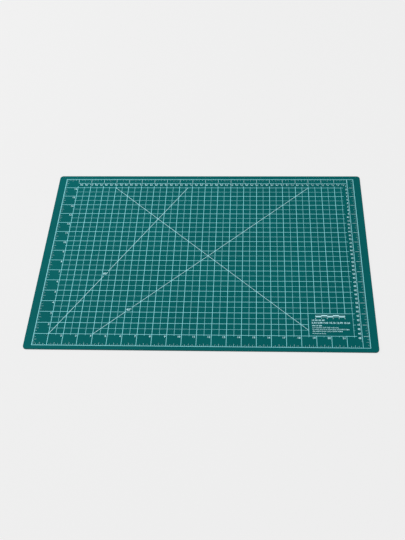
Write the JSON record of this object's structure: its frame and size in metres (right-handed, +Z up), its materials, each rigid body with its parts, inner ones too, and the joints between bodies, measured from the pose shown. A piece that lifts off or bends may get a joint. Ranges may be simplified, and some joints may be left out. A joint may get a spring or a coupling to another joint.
{
  "type": "rotary cutting mat",
  "caption": "Flat self-healing cutting mat with rounded corners: soft green faces bonded to a stiff core, printed with an inch grid, edge scales and slanting guide lines.",
  "frame": {"origin": "middle of the underside", "axes": "+X along the long edge, towards the high numbers of the bottom scale; +Y across the mat, from the numbered bottom scale to the far edge; +Z up, out of the printed face"},
  "size_m": [0.6, 0.45, 0.003],
  "materials": {
    "soft_green_pvc": "fine matte grain",
    "stiff_core_pvc": "satin, a little greyer than the faces",
    "pale_ink": "matte screen-printed ink"
  },
  "bodies": {
    "root": {"bottom_cutting_layer": "soft_green_pvc", "rigid_core": "stiff_core_pvc", "top_cutting_layer": "soft_green_pvc", "front_print": "pale_ink"}
  },
  "joints": []
}
